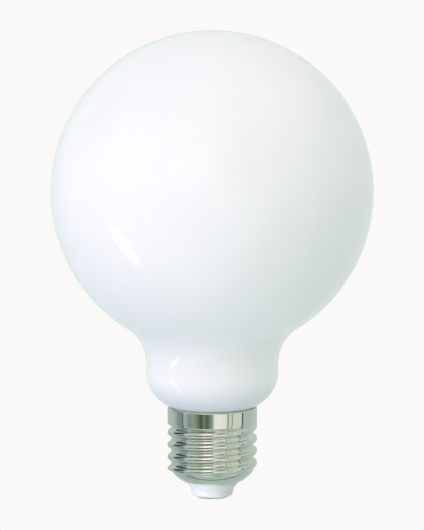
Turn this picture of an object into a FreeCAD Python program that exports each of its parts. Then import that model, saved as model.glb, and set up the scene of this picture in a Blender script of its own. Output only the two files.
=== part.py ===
import FreeCAD
import Part

import math
import os

# Opal globe lamp with a 27 mm Edison screw cap, standing cap down on its centre contact.
# The origin is the middle of the contact's flat face, and +Z runs up the lamp's axis.
# Sizes are millimetres and angles are radians. Heights stack up from the contact face.

# Glass bulb
GLOBE_DIAMETER = 95.0
NECK_DIAMETER = 39.1
NECK_FILLET = 12.7        # hollow round between the globe and the neck
NECK_STRAIGHT = 2.3       # upright stretch of the neck
SHOULDER_ROUND = 11.6     # full round from the neck in to the cap
SEAT_FILLET = 0.5         # hollow round where the shoulder turns down into the cap
GLASS_WALL = 1.0
STUB_CORNER = 1.6         # round at the foot of the glass inside the cap

# Screw shell
SHELL_WALL = 0.3
COLLAR_DIAMETER = 26.4
COLLAR_HEIGHT = 4.8
RIM_ROUND = 0.5           # the collar's rim is turned in with this outer round
THREAD_CREST_DIAMETER = 26.4
THREAD_DEPTH = 1.095      # from crest to root
THREAD_PITCH = 3.629      # seven turns to the inch
THREAD_HEIGHT = 14.25
THREAD_PHASE = 6.6        # height of a crest at angle zero, on +X
THREAD_TOP_FADE = 0.9     # the groove dies out into the collar over this height
THREAD_FOOT_FADE = 0.6    # the crest dies out into the cone over this height
CONE_HEIGHT = 3.1
CONE_FOOT_DIAMETER = 17.0
CONE_BULGE = 0.26         # how far the cone's side bows out of a straight line
CONE_CORNER = 0.5         # round where the cone turns in under the insulator's rim
CONE_HOLE_DIAMETER = 14.6

# Insulator
INSULATOR_RIM_DIAMETER = 15.2
INSULATOR_RIM_HEIGHT = 0.6
INSULATOR_STEP = 0.2      # the taper is set in this far under the rim
INSULATOR_TAPER_HEIGHT = 1.85
INSULATOR_WAIST_DIAMETER = 12.5
INSULATOR_WAIST_ROUND = 1.6
INSULATOR_NOSE_HEIGHT = 2.0
INSULATOR_NOSE_DRAFT = 0.35   # the nose is this much narrower at its foot, on each side
INSULATOR_NOSE_ROUND = 1.1
INSULATOR_CROWN_HEIGHT = 1.6  # the part gripped inside the cone
INSULATOR_BORE_DIAMETER = 3.0

# Centre contact
CONTACT_DIAMETER = 9.2
CONTACT_PROUD = 0.4
CONTACT_EDGE_ROUND = 0.25
CONTACT_SHANK_LENGTH = 5.2

# Clearances
GLASS_GAP = 0.18          # open line between the collar's rim and the glass shoulder
CEMENT_FILM = 0.1         # between the glass stub and the collar's turned-in rim
STUB_CLEARANCE = 0.6      # the glass stub ends this far above the thread
GRIP_CLEARANCE = 0.05     # insulator in the cone, and contact shank in its bore

# Fineness of the threaded surface
THREAD_COLUMNS = 40       # control points round one turn
THREAD_ROWS_PER_PITCH = 16
RING_TOLERANCE = 0.001    # its end rings are this near to true circles

AXIS = FreeCAD.Vector(0, 0, 1)
ORIGIN = FreeCAD.Vector(0, 0, 0)

# Heights worked out from the sizes above
insulator_foot = CONTACT_PROUD
nose_top = insulator_foot + INSULATOR_NOSE_HEIGHT
taper_top = nose_top + INSULATOR_TAPER_HEIGHT
cone_foot = taper_top + INSULATOR_RIM_HEIGHT
thread_foot = cone_foot + CONE_HEIGHT
thread_top = thread_foot + THREAD_HEIGHT
collar_rim = thread_top + COLLAR_HEIGHT

# Radii
globe_radius = GLOBE_DIAMETER / 2
neck_radius = NECK_DIAMETER / 2
collar_radius = COLLAR_DIAMETER / 2
crest_radius = THREAD_CREST_DIAMETER / 2
root_radius = crest_radius - THREAD_DEPTH
cone_hole_radius = CONE_HOLE_DIAMETER / 2
rim_radius = collar_radius - RIM_ROUND
stub_radius = rim_radius - CEMENT_FILM

# An Edison thread is made of two equal arcs, round crest and round root, that meet at mid-depth.
thread_arc = (THREAD_DEPTH**2 + (THREAD_PITCH / 2) ** 2) / (4 * THREAD_DEPTH)


class Outline:
    """A profile drawn point by point as (radius, height) in the XZ plane."""

    def __init__(self, radius, height):
        self.tip = FreeCAD.Vector(radius, 0, height)
        self.start = self.tip
        self.edges = []

    def line(self, radius, height):
        end = FreeCAD.Vector(radius, 0, height)
        self.edges.append(Part.LineSegment(self.tip, end).toShape())
        self.tip = end

    def arc(self, centre, end):
        """The shorter arc about centre from here to end, both (radius, height)."""
        middle = FreeCAD.Vector(centre[0], 0, centre[1])
        finish = FreeCAD.Vector(end[0], 0, end[1])
        radius = self.tip.distanceToPoint(middle)
        halfway = ((self.tip - middle) + (finish - middle)).normalize() * radius
        self.edges.append(Part.Arc(self.tip, middle + halfway, finish).toShape())
        self.tip = finish

    def bend(self, corner, towards, rounding):
        """A line to a corner that is rounded off towards the next point."""
        corner = FreeCAD.Vector(corner[0], 0, corner[1])
        back = (self.tip - corner).normalize()
        ahead = (FreeCAD.Vector(towards[0], 0, towards[1]) - corner).normalize()
        half = back.getAngle(ahead) / 2
        middle = corner + (back + ahead).normalize() * (rounding / math.sin(half))
        start = corner + back * (rounding / math.tan(half))
        end = corner + ahead * (rounding / math.tan(half))
        self.line(start.x, start.z)
        self.arc((middle.x, middle.z), (end.x, end.z))

    def turned_solid(self):
        """The profile closed back to its start and turned once about the axis."""
        self.line(self.start.x, self.start.z)
        return Part.Face(Part.Wire(self.edges)).revolve(ORIGIN, AXIS, 360)


def along(centre, through, distance):
    """The point at distance from centre on the line through another point."""
    across = through[0] - centre[0]
    up = through[1] - centre[1]
    share = distance / math.hypot(across, up)
    return (centre[0] + across * share, centre[1] + up * share)


def side_of(hypotenuse, other):
    return math.sqrt(hypotenuse**2 - other**2)


# Centres of the bulb's arcs. Each round touches its neighbours, so the centres follow from the radii.
seat_centre_radius = stub_radius + SEAT_FILLET
shoulder_centre_radius = neck_radius - SHOULDER_ROUND
shoulder_centre_height = (
    collar_rim + GLASS_GAP + side_of(SHOULDER_ROUND, rim_radius - shoulder_centre_radius)
)
seat_centre_height = shoulder_centre_height - side_of(
    SHOULDER_ROUND + SEAT_FILLET, seat_centre_radius - shoulder_centre_radius
)
fillet_centre_radius = neck_radius + NECK_FILLET
fillet_centre_height = shoulder_centre_height + NECK_STRAIGHT
globe_centre_height = fillet_centre_height + side_of(
    globe_radius + NECK_FILLET, fillet_centre_radius
)
stub_foot = thread_top + STUB_CLEARANCE


def bulb_body(inset):
    """The bulb's outer form, or the form lying inset inside it."""
    seat = (seat_centre_radius, seat_centre_height)
    shoulder = (shoulder_centre_radius, shoulder_centre_height)
    fillet = (fillet_centre_radius, fillet_centre_height)
    globe = (0, globe_centre_height)
    stub = stub_radius - inset
    foot = stub_foot + inset
    outline = Outline(0, foot)
    outline.bend((stub, foot), (stub, seat_centre_height), STUB_CORNER - inset)
    outline.line(stub, seat_centre_height)
    outline.arc(seat, along(seat, shoulder, SEAT_FILLET + inset))
    outline.arc(shoulder, (neck_radius - inset, shoulder_centre_height))
    outline.line(neck_radius - inset, fillet_centre_height)
    outline.arc(fillet, along(fillet, globe, NECK_FILLET + inset))
    outline.arc(globe, (0, globe_centre_height + globe_radius - inset))
    return outline.turned_solid()


def glass_globe():
    """The blown opal bulb: one sealed piece of glass of even wall, closed at its foot inside the cap."""
    return bulb_body(0).cut(bulb_body(GLASS_WALL))


# The cone's side is an arc, so its two ends and its bulge give the circle that it lies on.
cone_chord = math.hypot(root_radius - CONE_FOOT_DIAMETER / 2, CONE_HEIGHT)
cone_arc = (cone_chord**2 / 4 + CONE_BULGE**2) / (2 * CONE_BULGE)
cone_back = (cone_arc - CONE_BULGE) / cone_chord
cone_centre = (
    (root_radius + CONE_FOOT_DIAMETER / 2) / 2 - CONE_HEIGHT * cone_back,
    (thread_foot + cone_foot) / 2 + (root_radius - CONE_FOOT_DIAMETER / 2) * cone_back,
)


def cone_radius(height, inset):
    """The cone's radius at a height, on the face lying inset inside the outer one."""
    return cone_centre[0] + side_of(cone_arc - inset, height - cone_centre[1])


# The corner under the cone is a circle inside the cone's circle that stands on the foot.
corner_centre_height = cone_foot + CONE_CORNER
corner_centre = (
    cone_radius(corner_centre_height, CONE_CORNER),
    corner_centre_height,
)


def thread_radius(angle, height, inset):
    """Radius of the threaded wall's face lying inset inside the outer one."""
    crest_height = THREAD_PHASE + THREAD_PITCH * angle / (2 * math.pi)
    off_crest = (height - crest_height) % THREAD_PITCH
    off_crest = min(off_crest, THREAD_PITCH - off_crest)
    crest_arc = thread_arc - inset
    root_arc = thread_arc + inset
    if off_crest < THREAD_PITCH / 4 * crest_arc / thread_arc:
        wave = crest_radius - thread_arc + side_of(crest_arc, off_crest)
    else:
        off_root = THREAD_PITCH / 2 - off_crest
        wave = root_radius + thread_arc - side_of(root_arc, off_root)
    top = smooth_step((thread_top - height) / THREAD_TOP_FADE)
    foot = smooth_step((height - thread_foot) / THREAD_FOOT_FADE)
    wave = wave * top + (collar_radius - inset) * (1 - top)
    return wave * foot + cone_radius(thread_foot, inset) * (1 - foot)


def smooth_step(share):
    share = min(1.0, max(0.0, share))
    return share * share * (3 - 2 * share)


def threaded_face(inset):
    """The rolled thread as one smooth surface, closed round the axis."""
    spans = math.ceil(THREAD_HEIGHT / THREAD_PITCH * THREAD_ROWS_PER_PITCH)
    rise = THREAD_HEIGHT / spans
    steps = [0, 1 / 3, *range(1, spans), spans - 1 / 3, spans]
    turn = 2 * math.pi / THREAD_COLUMNS
    # A ring of control points draws a slightly smaller circle than its own.
    outset = 6 / (4 + 2 * math.cos(turn))
    poles = []
    for column in range(THREAD_COLUMNS):
        angle = (column - 1) * turn
        strip = []
        for step in steps:
            height = thread_foot + step * rise
            radius = thread_radius(angle, height, inset) * outset
            strip.append(
                FreeCAD.Vector(radius * math.cos(angle), radius * math.sin(angle), height)
            )
        poles.append(strip)
    surface = Part.BSplineSurface()
    surface.buildFromPolesMultsKnots(
        poles,
        [1] * (THREAD_COLUMNS + 1),
        [4] + [1] * (spans - 1) + [4],
        list(range(THREAD_COLUMNS + 1)),
        list(range(spans + 1)),
        True,
        False,
        3,
        3,
    )
    return surface.toShape()


def end_rings(face):
    """The foot and top edges of a threaded face."""
    rings = [edge for edge in face.Edges if edge.Closed]
    rings.sort(key=lambda edge: edge.BoundBox.ZMin)
    return rings


def threaded_band():
    """The threaded wall between its two faces, with a flat ring at each end."""
    outer = threaded_face(0)
    inner = threaded_face(SHELL_WALL)
    faces = [outer, inner]
    for outer_ring, inner_ring in zip(end_rings(outer), end_rings(inner)):
        wires = [Part.Wire([outer_ring]), Part.Wire([inner_ring])]
        faces.append(Part.Face(wires, "Part::FaceMakerBullseye"))
    band = Part.makeCompound(faces)
    band.sewShape()
    return Part.makeSolid(band.Shells[0])


def cap_shell():
    """The nickel-plated screw shell: collar, rolled thread and cone in one thin wall."""
    inside = collar_radius - SHELL_WALL
    rim_centre = (rim_radius, collar_rim - RIM_ROUND)
    collar = Outline(collar_radius, thread_top)
    collar.line(collar_radius, rim_centre[1])
    collar.arc(rim_centre, (rim_radius, collar_rim))
    collar.line(rim_radius, collar_rim - SHELL_WALL)
    collar.arc(rim_centre, (inside, rim_centre[1]))
    collar.line(inside, thread_top)

    cone = Outline(root_radius, thread_foot)
    cone.arc(cone_centre, along(cone_centre, corner_centre, cone_arc))
    cone.arc(corner_centre, (corner_centre[0], cone_foot))
    cone.line(cone_hole_radius, cone_foot)
    cone.line(cone_hole_radius, cone_foot + SHELL_WALL)
    cone.line(corner_centre[0], cone_foot + SHELL_WALL)
    cone.arc(corner_centre, along(cone_centre, corner_centre, cone_arc - SHELL_WALL))
    cone.arc(cone_centre, (cone_radius(thread_foot, SHELL_WALL), thread_foot))

    return threaded_band().fuse([collar.turned_solid(), cone.turned_solid()], RING_TOLERANCE)


def insulator():
    """The white insulator: nose and taper under the cone, a waist in its hole and a crown inside."""
    bore = INSULATOR_BORE_DIAMETER / 2
    waist = INSULATOR_WAIST_DIAMETER / 2
    nose = waist - INSULATOR_NOSE_DRAFT
    rim = INSULATOR_RIM_DIAMETER / 2
    taper = rim - INSULATOR_STEP
    neck = cone_hole_radius - GRIP_CLEARANCE
    grip = SHELL_WALL + GRIP_CLEARANCE
    crown_foot = cone_foot + grip
    crown_top = crown_foot + INSULATOR_CROWN_HEIGHT
    outline = Outline(bore, insulator_foot)
    outline.bend((nose, insulator_foot), (waist, nose_top), INSULATOR_NOSE_ROUND)
    outline.bend((waist, nose_top), (taper, taper_top), INSULATOR_WAIST_ROUND)
    outline.line(taper, taper_top)
    outline.line(rim, taper_top)
    outline.line(rim, cone_foot)
    outline.line(neck, cone_foot)
    outline.line(neck, crown_foot)
    outline.line(corner_centre[0], crown_foot)
    outline.line(cone_radius(corner_centre_height, grip), corner_centre_height)
    outline.arc(cone_centre, (cone_radius(crown_top, grip), crown_top))
    outline.line(bore, crown_top)
    return outline.turned_solid()


def centre_contact():
    """The pressed contact: a flat head under the insulator and a shank up its bore."""
    head = CONTACT_DIAMETER / 2
    shank = INSULATOR_BORE_DIAMETER / 2 - GRIP_CLEARANCE
    edge = CONTACT_EDGE_ROUND
    outline = Outline(0, 0)
    outline.line(head - edge, 0)
    outline.arc((head - edge, edge), (head, edge))
    outline.line(head, CONTACT_PROUD)
    outline.line(shank, CONTACT_PROUD)
    outline.line(shank, CONTACT_SHANK_LENGTH)
    outline.line(0, CONTACT_SHANK_LENGTH)
    return outline.turned_solid()


PIECES = {
    "glass_globe": glass_globe,
    "cap_shell": cap_shell,
    "insulator": insulator,
    "centre_contact": centre_contact,
}

os.makedirs("parts", exist_ok=True)
for name, make in PIECES.items():
    shape = make()
    shape.exportStep(f"parts/{name}.step")
    box = shape.BoundBox
    extent = (round(box.ZMin, 3), round(box.ZMax, 3))
    print(name, shape.isValid(), len(shape.Solids), round(shape.Volume, 1), extent)
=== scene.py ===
import math

import bmesh
import bpy
import numpy as np
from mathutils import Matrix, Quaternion, Vector


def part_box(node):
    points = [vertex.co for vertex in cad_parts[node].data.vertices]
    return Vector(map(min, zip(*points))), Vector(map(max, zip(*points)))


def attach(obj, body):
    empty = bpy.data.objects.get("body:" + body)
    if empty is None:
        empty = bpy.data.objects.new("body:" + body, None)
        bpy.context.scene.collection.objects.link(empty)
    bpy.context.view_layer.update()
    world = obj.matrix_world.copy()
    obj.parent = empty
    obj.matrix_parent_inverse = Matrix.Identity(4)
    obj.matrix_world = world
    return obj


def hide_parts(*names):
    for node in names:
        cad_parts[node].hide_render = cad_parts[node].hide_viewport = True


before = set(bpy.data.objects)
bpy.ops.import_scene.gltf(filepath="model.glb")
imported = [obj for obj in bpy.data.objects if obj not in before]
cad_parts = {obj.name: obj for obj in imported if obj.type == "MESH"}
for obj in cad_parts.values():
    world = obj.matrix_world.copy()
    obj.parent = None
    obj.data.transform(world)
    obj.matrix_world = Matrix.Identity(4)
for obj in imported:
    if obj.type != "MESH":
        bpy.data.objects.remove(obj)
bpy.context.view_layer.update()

# The globe lamp's looks. Lengths are millimetres here and become metres in the meshes.
MM = 0.001

# The photograph's frame, in pixels
PHOTO_WIDTH = 424
PHOTO_HEIGHT = 530
GLOBE_CENTRE_X = 212.3
GLOBE_CENTRE_Y = 191.6
GLOBE_RADIUS_PX = 161.5

# Camera
CAMERA_TILT = 8.0          # degrees below level
CAMERA_DISTANCE = 3000.0
CAMERA_REACH = 100         # metres
SENSOR_WIDTH = 36.0

# Glass bulb, as in the part
NECK_DIAMETER = 39.1
NECK_FILLET = 12.7
NECK_STRAIGHT = 2.3
SHOULDER_ROUND = 11.6
SEAT_FILLET = 0.5
STUB_CORNER = 1.6
GLASS_GAP = 0.18
CEMENT_FILM = 0.1

# Screw shell, as in the part
SHELL_WALL = 0.3
COLLAR_HEIGHT = 4.8
RIM_ROUND = 0.5
THREAD_DEPTH = 1.095
THREAD_PITCH = 3.629
THREAD_HEIGHT = 14.25
THREAD_PHASE = 6.6         # height of a crest on the right-hand side
THREAD_TOP_FADE = 0.9
THREAD_FOOT_FADE = 0.6
CONE_FOOT_DIAMETER = 17.0
CONE_BULGE = 0.26
CONE_CORNER = 0.5
CONE_HOLE_DIAMETER = 14.6

# Insulator and contact, as in the part
INSULATOR_RIM_DIAMETER = 15.2
INSULATOR_RIM_HEIGHT = 0.6
INSULATOR_STEP = 0.2
INSULATOR_TAPER_HEIGHT = 1.85
INSULATOR_WAIST_DIAMETER = 12.5
INSULATOR_WAIST_ROUND = 1.6
INSULATOR_NOSE_DRAFT = 0.35
INSULATOR_NOSE_ROUND = 1.1
INSULATOR_CROWN_HEIGHT = 1.6
INSULATOR_BORE_DIAMETER = 3.0
CONTACT_DIAMETER = 9.2
CONTACT_PROUD = 0.4
CONTACT_EDGE_ROUND = 0.25
GRIP_CLEARANCE = 0.05

# The opal's colour is painted darker from this height down to the cap, as painted shade next to the
# cap
NECK_SHADE_FROM = 38.0

# Fineness of the meshes
ROUND_STEPS = 288          # faces round the axis
SHARP_ANGLE = 35           # degrees from which an edge is drawn sharp
NECK_ROWS = 8
COLLAR_ROWS = 4
THREAD_ROWS = 150
THREAD_INNER_ROWS = 60

# Longest side of a face along a round stretch
ARC_STEP = 0.35
GLOBE_ARC_STEP = 1.0
CONE_ARC_STEP = 0.15
CONE_INNER_ARC_STEP = 0.3
CORNER_ARC_STEP = 0.1
RIM_ARC_STEP = 0.06
INSULATOR_ARC_STEP = 0.12
CONTACT_ARC_STEP = 0.05
LEAST_ARC_STEPS = 3

# Surface colours as linear values
CLOUDY_OPAL = (0.900, 0.910, 0.915, 1)
CLEAR_OPAL = (0.925, 0.932, 0.935, 1)
# Painted shade: the opal's colour next to the cap
SHADED_OPAL = (0.73, 0.78, 0.81, 1)
BRIGHT_NICKEL = (0.745, 0.750, 0.710, 1)
RUBBED_NICKEL = (0.700, 0.705, 0.660, 1)
DARKER_MOULDING = (0.66, 0.67, 0.68, 1)
LIGHTER_MOULDING = (0.69, 0.70, 0.71, 1)
SCUFFED_TIN = (0.52, 0.53, 0.52, 1)
BRIGHT_TIN = (0.66, 0.66, 0.64, 1)

# The studio. Azimuth is in degrees from the camera's side: 0 is towards it, -90 left and +90 right.
# Elevation is in degrees above level.

# Shades of the room out of 255, where more is brighter than white
GLARE = (278, 278, 272)
WHITE = (255, 255, 250)
PALE = (250, 249, 247)
CREAM = (240, 248, 238)
PALE_WALL = (219, 229, 208)
WALL = (205, 214, 206)
GREY_WALL = (186, 202, 196)
BLUE_GREY = (172, 188, 194)
HAZE = (154, 172, 160)
STEEL = (135, 156, 155)
OLIVE = (130, 145, 121)
MOSS = (86, 99, 76)
SOOT = (57, 66, 62)
ROOM_BRIGHTNESS = 1.05

# Bands of light round the room as (azimuth, shade): above, at and below the lamp's level
HIGH_LIGHT = [
    (-180, WALL),
    (-110, WALL),
    (-82, BLUE_GREY),
    (-72, CREAM),
    (-62, WALL),
    (-43, WALL),
    (-34, CREAM),
    (-26, GLARE),
    (-12, GLARE),
    (8, WALL),
    (18, HAZE),
    (32, HAZE),
    (48, WALL),
    (180, WALL),
]
LEVEL_LIGHT = [
    (-180, GREY_WALL),
    (-118, GREY_WALL),
    (-97, STEEL),
    (-87, STEEL),
    (-82, BLUE_GREY),
    (-72, BLUE_GREY),
    (-63, STEEL),
    (-51, HAZE),
    (-40, OLIVE),
    (-31, MOSS),
    (-27, MOSS),
    (-21, OLIVE),
    (-15, MOSS),
    (-5, OLIVE),
    (1, HAZE),
    (5, CREAM),
    (14, WHITE),
    (33, CREAM),
    (45, PALE_WALL),
    (79, PALE_WALL),
    (91, GREY_WALL),
    (111, GREY_WALL),
    (139, WALL),
    (180, GREY_WALL),
]
LOW_LIGHT = [
    (-180, GREY_WALL),
    (-120, BLUE_GREY),
    (-82, BLUE_GREY),
    (-70, CREAM),
    (-60, WALL),
    (-43, WALL),
    (-34, CREAM),
    (-26, WHITE),
    (-12, WHITE),
    (8, WALL),
    (18, HAZE),
    (32, HAZE),
    (48, WALL),
    (60, WALL),
    (100, GREY_WALL),
    (180, GREY_WALL),
]

# Elevations over which one row of bands gives way to the next
GROUND_TO_LOW = (-74, -62)
LOW_TO_LEVEL = (-38, -27)
LEVEL_TO_HIGH = (5, 16)

# Dark upright gaps between the bands as (azimuth, half width, depth)
DARK_LINES = [(-83, 1.6, 0.75), (41.5, 1.5, 0.6), (53, 1.2, 0.5), (85, 1.9, 0.9)]
LINE_SOFTNESS = 1.2

# A dark board that shades the left of the cap, and a round table below and behind, seen in the
# cap by its dark edge. Both lie about a middle, with edges at cosines of the angle from there.
BOARD_MIDDLE = (-114, 28)
BOARD_EDGE = (0.925, 0.965)
TABLE_MIDDLE = (180, -41)
TABLE_EDGE_OUTSIDE = (0.75, 0.77)
TABLE_EDGE_INSIDE = (0.79, 0.81)
TABLE_EDGE_DEPTH = 0.8
TABLE_EDGE_FADE = (-56, -44)    # elevations over which it ends

# Lamps, in metres
LAMP_AIM = Vector((0, 0, 0.07))
LAMP_DISTANCE = 1.2
SOFT_BOX = (1.0, 1.0)
STRIP_BOX = (0.17, 0.49)
BACK_SHEET = (2.7, 2.7)

# The floor and the room, in metres
FLOOR_RADIUS = 8.0
FLOOR_SEGMENTS = 96
ROOM_RADIUS = 9.0
ROOM_SEGMENTS = 64
ROOM_RINGS = 32

# Sizes of the part's pieces
globe_low, globe_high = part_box("glass_globe")
shell_low, shell_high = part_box("cap_shell")
contact_low, contact_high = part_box("centre_contact")
globe_top = globe_high.z / MM
globe_radius = (globe_high.x - globe_low.x) / 2 / MM
collar_radius = (shell_high.x - shell_low.x) / 2 / MM
collar_rim = shell_high.z / MM
cone_foot = shell_low.z / MM
stub_foot = globe_low.z / MM
contact_face = contact_low.z / MM
shank_top = contact_high.z / MM
globe_centre = globe_top - globe_radius

# Heights and radii worked out from them
thread_top = collar_rim - COLLAR_HEIGHT
thread_foot = thread_top - THREAD_HEIGHT
rim_radius = collar_radius - RIM_ROUND
crest_radius = collar_radius
root_radius = crest_radius - THREAD_DEPTH
cone_hole_radius = CONE_HOLE_DIAMETER / 2
thread_arc = (THREAD_DEPTH**2 + (THREAD_PITCH / 2) ** 2) / (4 * THREAD_DEPTH)
round_angles = 2 * math.pi * np.arange(ROUND_STEPS) / ROUND_STEPS


def side_of(hypotenuse, other):
    """The third side of a right-angled triangle."""
    return math.sqrt(hypotenuse**2 - other**2)


def along(centre, through, distance):
    """The point at distance from centre on the line through another point."""
    across = through[0] - centre[0]
    up = through[1] - centre[1]
    share = distance / math.hypot(across, up)
    return (centre[0] + across * share, centre[1] + up * share)


class Outline:
    """A lathe profile as (radius, height) points, with its round stretches followed closely."""

    def __init__(self, radius, height):
        self.points = [(radius, height)]

    def line(self, radius, height, steps=1):
        start = self.points[-1]
        for step in range(1, steps + 1):
            share = step / steps
            across = start[0] + (radius - start[0]) * share
            up = start[1] + (height - start[1]) * share
            self.points.append((across, up))

    def arc(self, centre, end, longest=ARC_STEP):
        """The shorter arc about centre from here to end."""
        start = self.points[-1]
        radius = math.hypot(start[0] - centre[0], start[1] - centre[1])
        first = math.atan2(start[1] - centre[1], start[0] - centre[0])
        last = math.atan2(end[1] - centre[1], end[0] - centre[0])
        turn = (last - first + math.pi) % (2 * math.pi) - math.pi
        steps = max(LEAST_ARC_STEPS, math.ceil(abs(turn) * radius / longest))
        for step in range(1, steps):
            angle = first + turn * step / steps
            across = centre[0] + radius * math.cos(angle)
            up = centre[1] + radius * math.sin(angle)
            self.points.append((across, up))
        self.points.append(end)

    def bend(self, corner, towards, rounding, longest=ARC_STEP):
        """A line to a corner that is rounded off towards the next point."""
        corner = Vector(corner)
        back = (Vector(self.points[-1]) - corner).normalized()
        ahead = (Vector(towards) - corner).normalized()
        half = back.angle(ahead) / 2
        centre = corner + (back + ahead).normalized() * (rounding / math.sin(half))
        reach = rounding / math.tan(half)
        self.line(*(corner + back * reach))
        self.arc(tuple(centre), tuple(corner + ahead * reach), longest)


def mesh_object(name, vertices, faces):
    """A piece from vertices in millimetres, smooth but for its sharp edges."""
    mesh = bpy.data.meshes.new(name)
    mesh.from_pydata((np.asarray(vertices) * MM).tolist(), [], faces)
    mesh.shade_smooth()
    mesh.set_sharp_from_angle(angle=math.radians(SHARP_ANGLE))
    piece = bpy.data.objects.new(name, mesh)
    bpy.context.scene.collection.objects.link(piece)
    return piece


def faces_between(rings):
    """Faces that join each ring of vertex numbers to the next one."""
    faces = []
    for low, high in zip(rings, rings[1:]):
        for k in range(ROUND_STEPS):
            after = (k + 1) % ROUND_STEPS
            corners = [low[k], low[after], high[after], high[k]]
            faces.append(tuple(dict.fromkeys(corners)))
    return faces


def turned(name, points):
    """A closed turned piece. Its profile runs upwards with the solid on the axis side."""
    vertices = []
    rings = []
    for radius, height in points:
        first = len(vertices)
        if radius == 0:
            rings.append([first] * ROUND_STEPS)
            vertices.append((0, 0, height))
        else:
            rings.append(range(first, first + ROUND_STEPS))
            for angle in round_angles:
                vertices.append((radius * math.cos(angle), radius * math.sin(angle), height))
    if points[0][0] > 0:
        rings.append(rings[0])
    return mesh_object(name, vertices, faces_between(rings))


def bulb_profile():
    neck_radius = NECK_DIAMETER / 2
    stub = rim_radius - CEMENT_FILM
    seat_x = stub + SEAT_FILLET
    shoulder_x = neck_radius - SHOULDER_ROUND
    shoulder_z = collar_rim + GLASS_GAP + side_of(SHOULDER_ROUND, rim_radius - shoulder_x)
    seat = (seat_x, shoulder_z - side_of(SHOULDER_ROUND + SEAT_FILLET, seat_x - shoulder_x))
    shoulder = (shoulder_x, shoulder_z)
    fillet = (neck_radius + NECK_FILLET, shoulder_z + NECK_STRAIGHT)
    globe = (0, globe_centre)
    profile = Outline(0, stub_foot)
    profile.bend((stub, stub_foot), (stub, seat[1]), STUB_CORNER)
    profile.line(stub, seat[1])
    profile.arc(seat, along(seat, shoulder, SEAT_FILLET), CORNER_ARC_STEP)
    profile.arc(shoulder, (neck_radius, shoulder_z))
    profile.line(neck_radius, fillet[1], NECK_ROWS)
    profile.arc(fillet, along(fillet, globe, NECK_FILLET))
    profile.arc(globe, (0, globe_top), GLOBE_ARC_STEP)
    return profile.points


def cone_circle():
    """The centre and radius of the circle that the cone's side follows."""
    foot_radius = CONE_FOOT_DIAMETER / 2
    chord = math.hypot(root_radius - foot_radius, thread_foot - cone_foot)
    radius = (chord**2 / 4 + CONE_BULGE**2) / (2 * CONE_BULGE)
    back = (radius - CONE_BULGE) / chord
    centre = (
        (root_radius + foot_radius) / 2 - (thread_foot - cone_foot) * back,
        (thread_foot + cone_foot) / 2 + (root_radius - foot_radius) * back,
    )
    return centre, radius


cone_centre, cone_arc = cone_circle()


def cone_radius(height, inset):
    """Radius of the cone's wall at a height, on the face inset inside the outer one."""
    return cone_centre[0] + side_of(cone_arc - inset, height - cone_centre[1])


def smooth_step(share):
    share = np.clip(share, 0.0, 1.0)
    return share * share * (3 - 2 * share)


def thread_radius(height, inset):
    """Radius of the rolled wall all round at one height, on the face inset inside the outer one."""
    crest_height = THREAD_PHASE + THREAD_PITCH * round_angles / (2 * math.pi)
    off_crest = (height - crest_height) % THREAD_PITCH
    off_crest = np.minimum(off_crest, THREAD_PITCH - off_crest)
    crest_arc = thread_arc - inset
    root_arc = thread_arc + inset
    on_crest = off_crest < THREAD_PITCH / 4 * crest_arc / thread_arc
    crest = crest_radius - thread_arc + np.sqrt(np.maximum(crest_arc**2 - off_crest**2, 0))
    off_root = THREAD_PITCH / 2 - off_crest
    root = root_radius + thread_arc - np.sqrt(np.maximum(root_arc**2 - off_root**2, 0))
    wave = np.where(on_crest, crest, root)
    top = smooth_step((thread_top - height) / THREAD_TOP_FADE)
    foot = smooth_step((height - thread_foot) / THREAD_FOOT_FADE)
    wave = wave * top + (collar_radius - inset) * (1 - top)
    return wave * foot + cone_radius(thread_foot, inset) * (1 - foot)


def thread_rows(count, inset):
    """Rows of the threaded wall as (radii, height), upwards, without its first and last row."""
    rows = []
    for row in range(1, count):
        height = thread_foot + THREAD_HEIGHT * row / count
        rows.append((thread_radius(height, inset), height))
    return rows


def plain_rows(points):
    """Rows of plain wall as (radii, height) from the points of a profile."""
    return [(np.full(ROUND_STEPS, radius), height) for radius, height in points]


def shell_mesh():
    """The rolled screw shell as one closed wall, followed round its whole section."""
    inside_radius = collar_radius - SHELL_WALL
    rim = (rim_radius, collar_rim - RIM_ROUND)
    corner = (cone_radius(cone_foot + CONE_CORNER, CONE_CORNER), cone_foot + CONE_CORNER)

    under = Outline(cone_hole_radius, cone_foot + SHELL_WALL)
    under.line(cone_hole_radius, cone_foot)
    under.line(corner[0], cone_foot)
    under.arc(corner, along(cone_centre, corner, cone_arc), CORNER_ARC_STEP)
    under.arc(cone_centre, (root_radius, thread_foot), CONE_ARC_STEP)

    collar = Outline(collar_radius, thread_top)
    collar.line(collar_radius, rim[1], COLLAR_ROWS)
    collar.arc(rim, (rim_radius, collar_rim), RIM_ARC_STEP)
    collar.line(rim_radius, collar_rim - SHELL_WALL)
    collar.arc(rim, (inside_radius, rim[1]), RIM_ARC_STEP)
    collar.line(inside_radius, thread_top)

    inside = Outline(cone_radius(thread_foot, SHELL_WALL), thread_foot)
    inside_foot = along(cone_centre, corner, cone_arc - SHELL_WALL)
    inside.arc(cone_centre, inside_foot, CONE_INNER_ARC_STEP)
    inside.arc(corner, (corner[0], cone_foot + SHELL_WALL), CORNER_ARC_STEP)

    rows = plain_rows(under.points)
    rows += thread_rows(THREAD_ROWS, 0)
    rows += plain_rows(collar.points)
    rows += reversed(thread_rows(THREAD_INNER_ROWS, SHELL_WALL))
    rows += plain_rows(inside.points)

    vertices = []
    rings = []
    for row, (radii, height) in enumerate(rows):
        across = radii * np.cos(round_angles)
        deep = radii * np.sin(round_angles)
        vertices.append(np.stack([across, deep, np.full(ROUND_STEPS, height)], axis=1))
        rings.append(range(row * ROUND_STEPS, (row + 1) * ROUND_STEPS))
    rings.append(rings[0])
    return mesh_object("screw_shell", np.concatenate(vertices), faces_between(rings))


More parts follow.
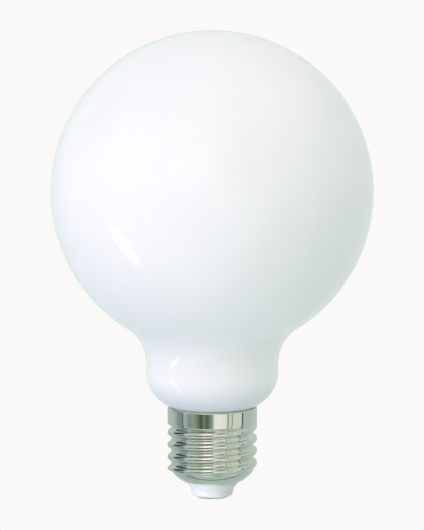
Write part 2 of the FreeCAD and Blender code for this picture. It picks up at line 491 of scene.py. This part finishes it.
def insulator_profile():
    bore = INSULATOR_BORE_DIAMETER / 2
    waist = INSULATOR_WAIST_DIAMETER / 2
    rim = INSULATOR_RIM_DIAMETER / 2
    foot = contact_face + CONTACT_PROUD
    nose_foot = (waist - INSULATOR_NOSE_DRAFT, foot)
    taper_top = (rim - INSULATOR_STEP, cone_foot - INSULATOR_RIM_HEIGHT)
    nose_top = (waist, taper_top[1] - INSULATOR_TAPER_HEIGHT)
    neck = cone_hole_radius - GRIP_CLEARANCE
    grip = SHELL_WALL + GRIP_CLEARANCE
    crown_foot = cone_foot + grip
    crown_top = crown_foot + INSULATOR_CROWN_HEIGHT
    corner_height = cone_foot + CONE_CORNER
    profile = Outline(bore, foot)
    profile.bend(nose_foot, nose_top, INSULATOR_NOSE_ROUND, INSULATOR_ARC_STEP)
    profile.bend(nose_top, taper_top, INSULATOR_WAIST_ROUND, INSULATOR_ARC_STEP)
    profile.line(*taper_top)
    profile.line(rim, taper_top[1])
    profile.line(rim, cone_foot)
    profile.line(neck, cone_foot)
    profile.line(neck, crown_foot)
    profile.line(cone_radius(corner_height, CONE_CORNER), crown_foot)
    profile.line(cone_radius(corner_height, grip), corner_height)
    profile.arc(cone_centre, (cone_radius(crown_top, grip), crown_top))
    profile.line(bore, crown_top)
    return profile.points


def contact_profile():
    head = CONTACT_DIAMETER / 2
    shank = INSULATOR_BORE_DIAMETER / 2 - GRIP_CLEARANCE
    head_top = contact_face + CONTACT_PROUD
    edge = (head - CONTACT_EDGE_ROUND, contact_face + CONTACT_EDGE_ROUND)
    profile = Outline(0, contact_face)
    profile.line(edge[0], contact_face)
    profile.arc(edge, (head, edge[1]), CONTACT_ARC_STEP)
    profile.line(head, head_top)
    profile.line(shank, head_top)
    profile.line(shank, shank_top)
    profile.line(0, shank_top)
    return profile.points


def linear(red, green, blue):
    """A display colour out of 255 as the linear values that shaders take."""
    out = []
    for value in (red, green, blue):
        share = value / 255
        out.append(share / 12.92 if share <= 0.04045 else ((share + 0.055) / 1.055) ** 2.4)
    return (*out, 1.0)


class Nodes:
    """Short calls for making and joining shader nodes."""

    def __init__(self, tree):
        self.tree = tree
        tree.nodes.clear()

    def make(self, kind, values=None, **settings):
        node = self.tree.nodes.new(kind)
        for key, value in settings.items():
            setattr(node, key, value)
        for key, value in (values or {}).items():
            node.inputs[key].default_value = value
        return node

    def join(self, start, end):
        self.tree.links.new(start, end)

    def feed(self, socket, value):
        """Joins an output to the socket, or sets the socket to a plain value."""
        if hasattr(value, "is_output"):
            self.join(value, socket)
        else:
            socket.default_value = value

    def math(self, operation, *values):
        node = self.make("ShaderNodeMath", operation=operation)
        for socket, value in zip(node.inputs, values):
            self.feed(socket, value)
        return node.outputs[0]

    def mix(self, share, first, second):
        """A colour between the first, where the share is 0, and the second, where it is 1."""
        node = self.make("ShaderNodeMix", data_type="RGBA")
        self.feed(node.inputs[0], share)
        self.feed(node.inputs[6], first)
        self.feed(node.inputs[7], second)
        return node.outputs[2]

    def step(self, value, low, high, to_low=0.0, to_high=1.0):
        """Runs smoothly from one value to the other while the input goes from low to high."""
        node = self.make(
            "ShaderNodeMapRange",
            {"From Min": low, "From Max": high, "To Min": to_low, "To Max": to_high},
            interpolation_type="SMOOTHSTEP",
        )
        self.join(value, node.inputs["Value"])
        return node.outputs["Result"]

    def place(self, kind):
        """Where a point lies: "Object" is in metres on a piece, "Generated" is in the sky."""
        return self.make("ShaderNodeTexCoord").outputs[kind]

    def split(self, vector):
        node = self.make("ShaderNodeSeparateXYZ")
        self.join(vector, node.inputs[0])
        return node.outputs

    def noise(self, scale, detail, stretch=(1, 1, 1)):
        mapping = self.make("ShaderNodeMapping", {"Scale": stretch})
        self.join(self.place("Object"), mapping.inputs["Vector"])
        texture = self.make("ShaderNodeTexNoise", {"Scale": scale, "Detail": detail})
        self.join(mapping.outputs["Vector"], texture.inputs["Vector"])
        return texture.outputs["Fac"]


def new_material(name, values, kind="ShaderNodeBsdfPrincipled"):
    material = bpy.data.materials.new(name)
    material.use_nodes = True
    nodes = Nodes(material.node_tree)
    shader = nodes.make(kind, values)
    output = nodes.make("ShaderNodeOutputMaterial")
    nodes.join(shader.outputs[0], output.inputs["Surface"])
    return material, nodes, shader


def bump(nodes, shader, height, strength, distance):
    node = nodes.make("ShaderNodeBump", {"Strength": strength, "Distance": distance})
    nodes.join(height, node.inputs["Height"])
    nodes.join(node.outputs["Normal"], shader.inputs["Normal"])


def opal_glass():
    """Clear gloss over a milky body, faintly clouded and wavy, with painted shade darkening it next
    to the cap.
    """
    gloss = {
        "Roughness": 0.04,
        "IOR": 1.5,
        "Specular IOR Level": 0.25,
        "Subsurface Weight": 0.25,
        "Subsurface Scale": 0.006,
        "Subsurface Radius": (1.0, 1.0, 0.9),
    }
    material, nodes, shader = new_material("opal_glass", gloss)
    clouds = nodes.step(nodes.noise(scale=22.0, detail=4.0), low=0.3, high=0.7)
    milky = nodes.mix(clouds, CLOUDY_OPAL, CLEAR_OPAL)
    height = nodes.split(nodes.place("Object"))["Z"]
    # Painted shade: the milky colour darkens towards the cap
    neck_shade = nodes.step(height, low=NECK_SHADE_FROM * MM, high=collar_rim * MM)
    nodes.join(nodes.mix(neck_shade, milky, SHADED_OPAL), shader.inputs["Base Color"])
    waves = nodes.noise(scale=14.0, detail=1.0, stretch=(1, 1, 0.6))
    bump(nodes, shader, waves, strength=0.08, distance=0.0006)
    return material


def nickel_plate():
    """Bright nickel on drawn sheet, with fine upright draw lines, soft ripples and rubbed spots."""
    material, nodes, shader = new_material("nickel_plate", {"Metallic": 1.0})
    lines = nodes.noise(scale=900.0, detail=2.0, stretch=(1, 1, 0.03))
    rubbed = nodes.step(nodes.noise(scale=160.0, detail=4.0), low=0.35, high=0.75)
    colour = nodes.mix(rubbed, BRIGHT_NICKEL, RUBBED_NICKEL)
    nodes.join(colour, shader.inputs["Base Color"])
    sheen = nodes.step(lines, low=0.3, high=0.8, to_low=0.02, to_high=0.06)
    dullness = nodes.math("MULTIPLY", rubbed, 0.03)
    nodes.join(nodes.math("ADD", sheen, dullness), shader.inputs["Roughness"])
    ripples = nodes.noise(scale=70.0, detail=2.0)
    relief = nodes.math("ADD", nodes.math("MULTIPLY", lines, 0.05), ripples)
    bump(nodes, shader, relief, strength=0.05, distance=0.0004)
    return material


def white_insulator():
    """Satin white moulding with a slight mottle."""
    satin = {"Roughness": 0.32, "IOR": 1.5}
    material, nodes, shader = new_material("white_insulator", satin)
    mottle = nodes.noise(scale=500.0, detail=4.0)
    patches = nodes.step(mottle, low=0.3, high=0.7)
    colour = nodes.mix(patches, DARKER_MOULDING, LIGHTER_MOULDING)
    nodes.join(colour, shader.inputs["Base Color"])
    bump(nodes, shader, mottle, strength=0.03, distance=0.0001)
    return material


def contact_metal():
    """Tinned contact with fine scuffs from lampholder springs."""
    material, nodes, shader = new_material("contact_metal", {"Metallic": 1.0})
    scuffs = nodes.noise(scale=700.0, detail=5.0, stretch=(1, 0.12, 1))
    worn = nodes.step(scuffs, low=0.35, high=0.7)
    nodes.join(nodes.mix(worn, SCUFFED_TIN, BRIGHT_TIN), shader.inputs["Base Color"])
    roughness = nodes.step(scuffs, low=0.3, high=0.7, to_low=0.2, to_high=0.42)
    nodes.join(roughness, shader.inputs["Roughness"])
    bump(nodes, shader, scuffs, strength=0.2, distance=0.0001)
    return material


def dress(piece, node, material):
    """Gives a piece its material and lets it stand for the part's node, riding on the one body."""
    piece.data.materials.append(material)
    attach(piece, "root")
    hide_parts(node)


def round_share(azimuth):
    """An azimuth as a share of the full turn that starts and ends behind the lamp."""
    return azimuth / 360 + 0.5


def light_ramp(nodes, around, stops):
    """Colours that follow each other round the room."""
    ramp = nodes.make("ShaderNodeValToRGB")
    elements = ramp.color_ramp.elements
    while len(elements) < len(stops):
        elements.new(0.5)
    for element, (azimuth, shade) in zip(elements, stops):
        element.position = round_share(azimuth)
        element.color = linear(*shade)
    nodes.join(around, ramp.inputs[0])
    return ramp.outputs[0]


def direction(azimuth, elevation):
    turn = math.radians(azimuth)
    rise = math.radians(elevation)
    level = math.cos(rise)
    return Vector((math.sin(turn) * level, -math.cos(turn) * level, math.sin(rise)))


def nearness(nodes, sky, middle):
    """The cosine of the angle between a point of the sky and a named direction."""
    product = nodes.make("ShaderNodeVectorMath", operation="DOT_PRODUCT")
    nodes.join(sky, product.inputs[0])
    product.inputs[1].default_value = direction(*middle)
    return product.outputs["Value"]


def studio_light():
    """A soft room, bright above and to the left, with upright dark and light bands at eye level."""
    world = bpy.data.worlds.new("studio")
    bpy.context.scene.world = world
    world.use_nodes = True
    nodes = Nodes(world.node_tree)
    sky = nodes.place("Generated")
    parts = nodes.split(sky)
    turn = nodes.math("ARCTAN2", parts["X"], nodes.math("MULTIPLY", parts["Y"], -1.0))
    around = nodes.math("ADD", nodes.math("DIVIDE", turn, 2 * math.pi), 0.5)
    elevation = nodes.math("MULTIPLY", nodes.math("ARCSINE", parts["Z"]), 180 / math.pi)

    low = light_ramp(nodes, around, LOW_LIGHT)
    level = light_ramp(nodes, around, LEVEL_LIGHT)
    high = light_ramp(nodes, around, HIGH_LIGHT)
    for azimuth, half_width, depth in DARK_LINES:
        off = nodes.math("ABSOLUTE", nodes.math("SUBTRACT", around, round_share(azimuth)))
        inner = half_width / 360
        outer = (half_width + LINE_SOFTNESS) / 360
        line = nodes.step(off, inner, outer, to_low=depth, to_high=0.0)
        level = nodes.mix(line, level, linear(*SOOT))
    colour = nodes.mix(nodes.step(elevation, *GROUND_TO_LOW), linear(*GREY_WALL), low)
    colour = nodes.mix(nodes.step(elevation, *LOW_TO_LEVEL), colour, level)
    colour = nodes.mix(nodes.step(elevation, *LEVEL_TO_HIGH), colour, high)

    board = nodes.step(nearness(nodes, sky, BOARD_MIDDLE), *BOARD_EDGE)
    colour = nodes.mix(board, colour, linear(*SOOT))
    table = nearness(nodes, sky, TABLE_MIDDLE)
    outside = nodes.step(table, *TABLE_EDGE_OUTSIDE)
    inside = nodes.step(table, *TABLE_EDGE_INSIDE, to_low=TABLE_EDGE_DEPTH, to_high=0.0)
    below = nodes.step(elevation, *TABLE_EDGE_FADE, to_low=1.0, to_high=0.0)
    edge = nodes.math("MULTIPLY", nodes.math("MULTIPLY", outside, inside), below)
    colour = nodes.mix(edge, colour, linear(*SOOT))

    background = nodes.make("ShaderNodeBackground", {"Strength": ROOM_BRIGHTNESS})
    nodes.join(colour, background.inputs["Color"])
    output = nodes.make("ShaderNodeOutputWorld")
    nodes.join(background.outputs[0], output.inputs["Surface"])


def lamp(name, azimuth, elevation, power, colour, size=SOFT_BOX, only_for=None, spread=180, roll=0):
    """A rectangular soft light that faces the part.

    One that is kept for a single piece shows in the gloss of that piece. The others don't show.
    """
    data = bpy.data.lights.new(name, "AREA")
    data.shape = "RECTANGLE"
    data.size, data.size_y = size
    data.energy = power
    data.color = colour
    data.spread = math.radians(spread)
    light = bpy.data.objects.new(name, data)
    light.location = LAMP_AIM + direction(azimuth, elevation) * LAMP_DISTANCE
    facing = (LAMP_AIM - light.location).to_track_quat("-Z", "Y")
    light.rotation_euler = (facing @ Quaternion((0, 0, 1), math.radians(roll))).to_euler()
    light.visible_camera = False
    light.visible_glossy = only_for is not None
    if only_for:
        receivers = bpy.data.collections.new(name + "_receivers")
        receivers.objects.link(only_for)
        light.light_linking.receiver_collection = receivers
    bpy.context.scene.collection.objects.link(light)


def camera():
    """Looks at the lamp from a little above, so that the globe fills the photograph's circle."""
    focal_px = GLOBE_RADIUS_PX * side_of(CAMERA_DISTANCE, globe_radius) / globe_radius
    tilt = math.radians(CAMERA_TILT)
    forward = Vector((0, math.cos(tilt), -math.sin(tilt)))
    up = Vector((0, math.sin(tilt), math.cos(tilt)))
    right = Vector((1, 0, 0))
    across = (GLOBE_CENTRE_X - PHOTO_WIDTH / 2) / focal_px * CAMERA_DISTANCE
    rise = (PHOTO_HEIGHT / 2 - GLOBE_CENTRE_Y) / focal_px * CAMERA_DISTANCE
    place = Vector((0, 0, globe_centre)) - forward * CAMERA_DISTANCE - right * across - up * rise
    data = bpy.data.cameras.new("camera")
    data.sensor_fit = "HORIZONTAL"
    data.sensor_width = SENSOR_WIDTH
    data.lens = focal_px * SENSOR_WIDTH / PHOTO_WIDTH
    data.clip_end = CAMERA_REACH
    viewer = bpy.data.objects.new("camera", data)
    viewer.location = place * MM
    viewer.rotation_euler = forward.to_track_quat("-Z", "Y").to_euler()
    bpy.context.scene.collection.objects.link(viewer)
    bpy.context.scene.camera = viewer


def plain_glow(name):
    """An even pale glow, the same in every direction."""
    glow = {"Color": linear(*PALE), "Strength": 1.0}
    material, _, _ = new_material(name, glow, "ShaderNodeEmission")
    return material


def floor_form():
    form = bmesh.new()
    bmesh.ops.create_circle(form, cap_ends=True, segments=FLOOR_SEGMENTS, radius=FLOOR_RADIUS)
    return form


def room_form():
    form = bmesh.new()
    bmesh.ops.create_uvsphere(
        form, u_segments=ROOM_SEGMENTS, v_segments=ROOM_RINGS, radius=ROOM_RADIUS
    )
    return form


def stage_object(name, form, material):
    """Puts up a form that only the camera sees, so that it takes no part in the light."""
    mesh = bpy.data.meshes.new(name)
    form.to_mesh(mesh)
    form.free()
    mesh.materials.append(material)
    item = bpy.data.objects.new(name, mesh)
    bpy.context.scene.collection.objects.link(item)
    item.visible_glossy = False
    item.visible_diffuse = False
    item.visible_transmission = False
    item.visible_shadow = False


opal_globe = turned("opal_globe", bulb_profile())
dress(opal_globe, "glass_globe", opal_glass())
screw_shell = shell_mesh()
dress(screw_shell, "cap_shell", nickel_plate())
white_base = turned("white_base", insulator_profile())
dress(white_base, "insulator", white_insulator())
foot_contact = turned("foot_contact", contact_profile())
dress(foot_contact, "centre_contact", contact_metal())

studio_light()

# Each lamp by its name, azimuth, elevation, power in watts, and colour
lamp("streak", -71.5, -28, 1.0, (1.0, 1.0, 0.95), STRIP_BOX, only_for=opal_globe, roll=23)
lamp("behind", 180, -8, 1.45, (0.98, 1.0, 1.02), BACK_SHEET, only_for=opal_globe, spread=100)
lamp("foot_light", -48, -12, 9.1, (0.95, 0.93, 1.05), only_for=white_base)
lamp("key", -30, 33, 6.8, (0.99, 0.83, 1.03))
lamp("left_fill", -75, -45, 2.5, (0.69, 0.6, 1.02))
lamp("left_wash", -97, 2, 0.9, (0.95, 0.68, 0.1))
lamp("table_bounce", -15, -60, 0.8, (0.5, 0.5, 1.0))
lamp("right_fill", 45, -50, 0.9, (0.95, 0.95, 1.2))
lamp("left_rim", -130, 5, 3.5, (0.82, 0.83, 1.12))
lamp("right_rim", 130, 24, 2.5, (1.05, 0.67, 0.97))

camera()
bpy.context.scene.view_settings.view_transform = "Standard"
stage_object("floor", floor_form(), plain_glow("floor_white"))
stage_object("room", room_form(), plain_glow("room_white"))
